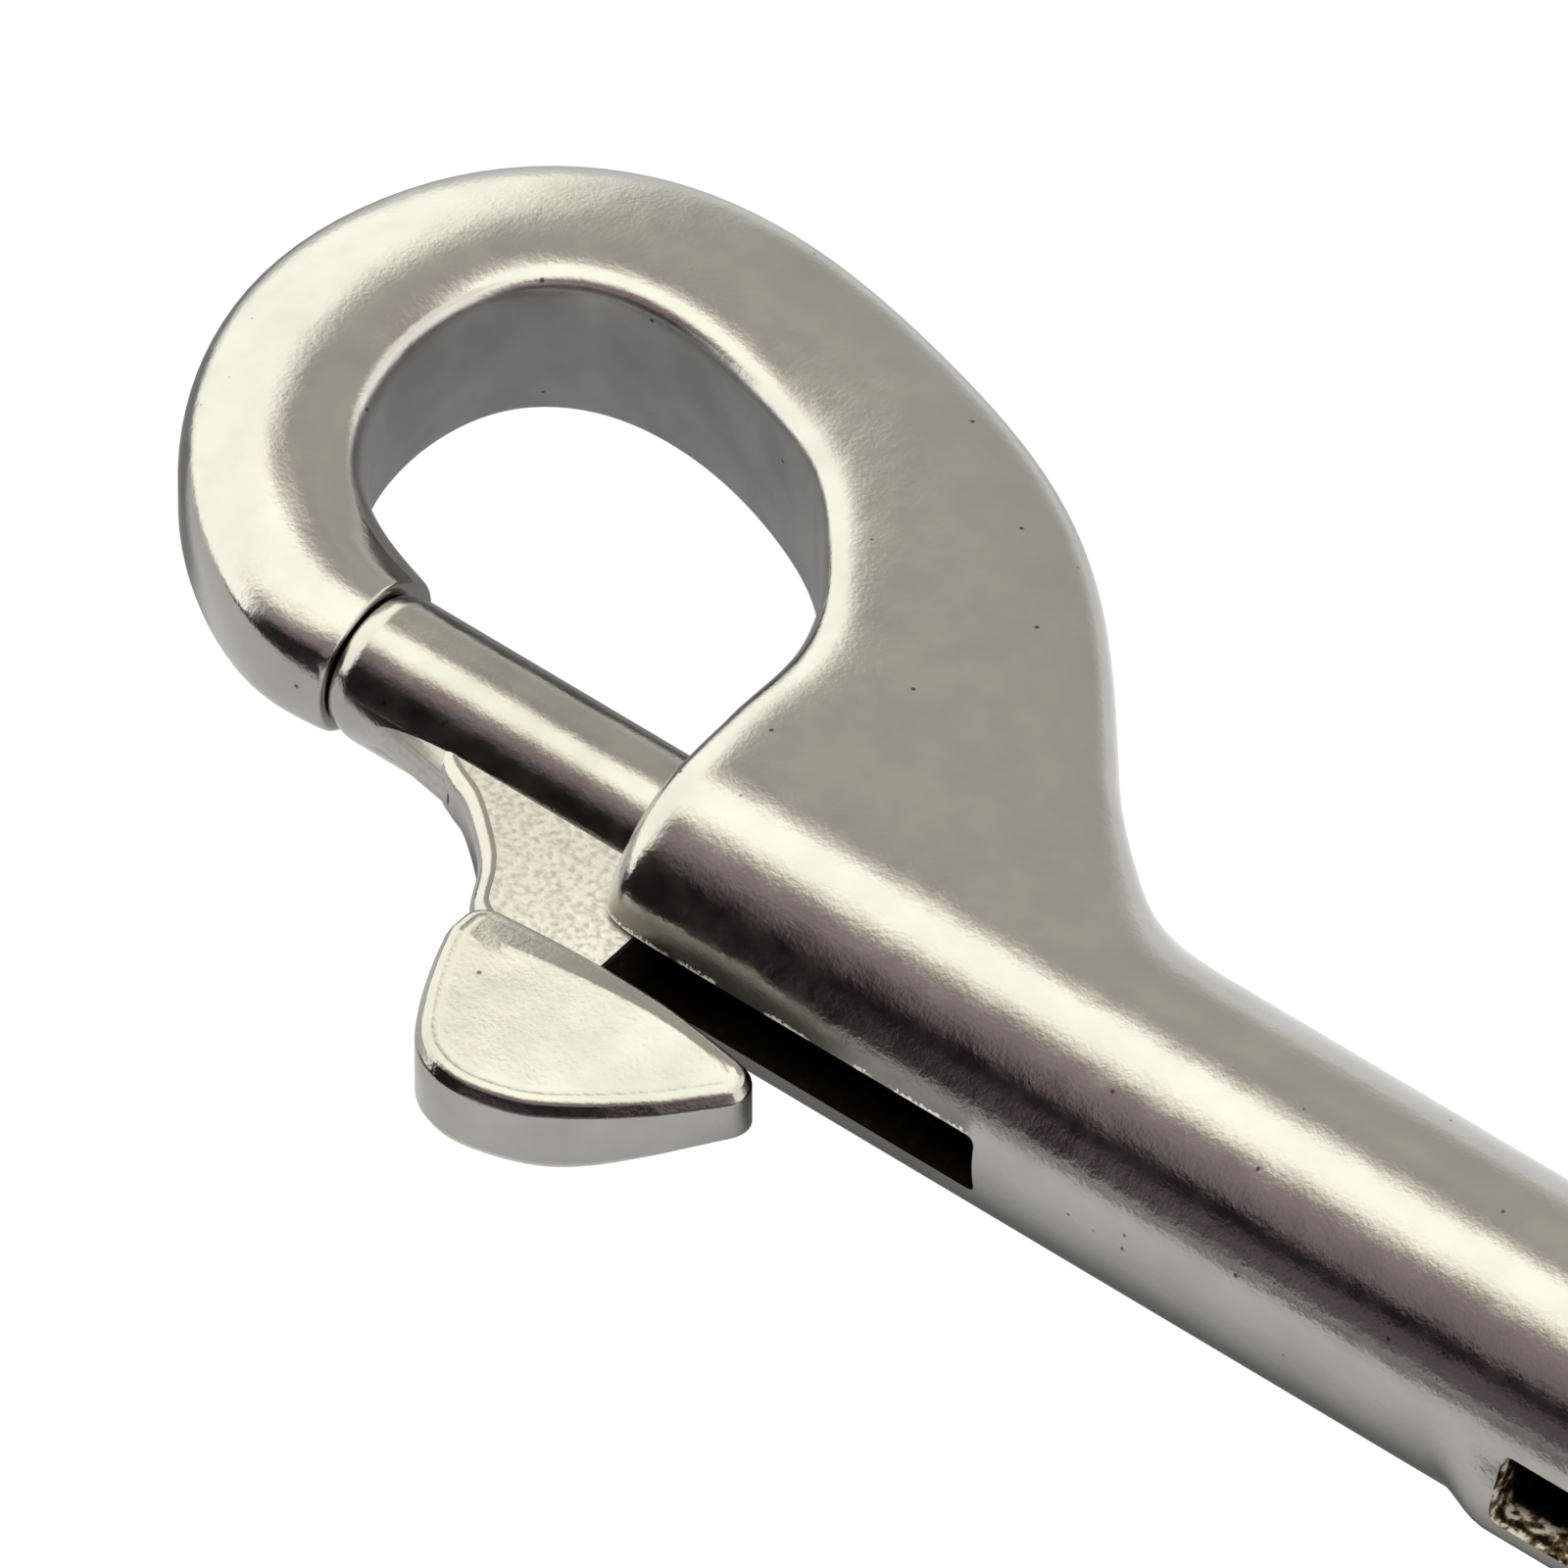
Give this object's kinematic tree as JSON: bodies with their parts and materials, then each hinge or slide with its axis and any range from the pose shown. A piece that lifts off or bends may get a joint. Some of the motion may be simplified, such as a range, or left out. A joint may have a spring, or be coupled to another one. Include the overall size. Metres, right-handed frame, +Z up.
{
  "type": "double ended snap hook",
  "caption": "Double ended snap hook: an eye at each end of one barrel, each closed by a sprung sliding gate bolt with a thumb knob.",
  "frame": {"origin": "on the surface the hook lies on, under the middle of its outline", "axes": "+X along the barrel to the end whose slot has the raised rim, +Y towards the eyes, +Z up from the flat side it lies on"},
  "size_m": [0.1208, 0.041, 0.012],
  "materials": {
    "cast_steel": "polished cast stainless steel",
    "bolt_steel": "polished cast stainless steel, the web left as cast",
    "spring_wire": "drawn stainless spring wire"
  },
  "bodies": {
    "body": {"body": "cast_steel", "spring_left": "spring_wire", "spring_right": "spring_wire"},
    "gate_left": {"gate_bolt_left": "bolt_steel"},
    "gate_right": {"gate_bolt_right": "bolt_steel"}
  },
  "joints": [
    {"name": "gate_left_slide", "type": "slide", "parent": "body", "child": "gate_left", "axis": [1, 0, 0], "range_m": [0, 0.0155], "stiffness_N_per_m": 350, "springref_m": -0.006, "deforming": ["spring_left"]},
    {"name": "gate_right_slide", "type": "slide", "parent": "body", "child": "gate_right", "axis": [-1, 0, 0], "range_m": [0, 0.0155], "stiffness_N_per_m": 350, "springref_m": -0.006, "deforming": ["spring_right"]}
  ]
}
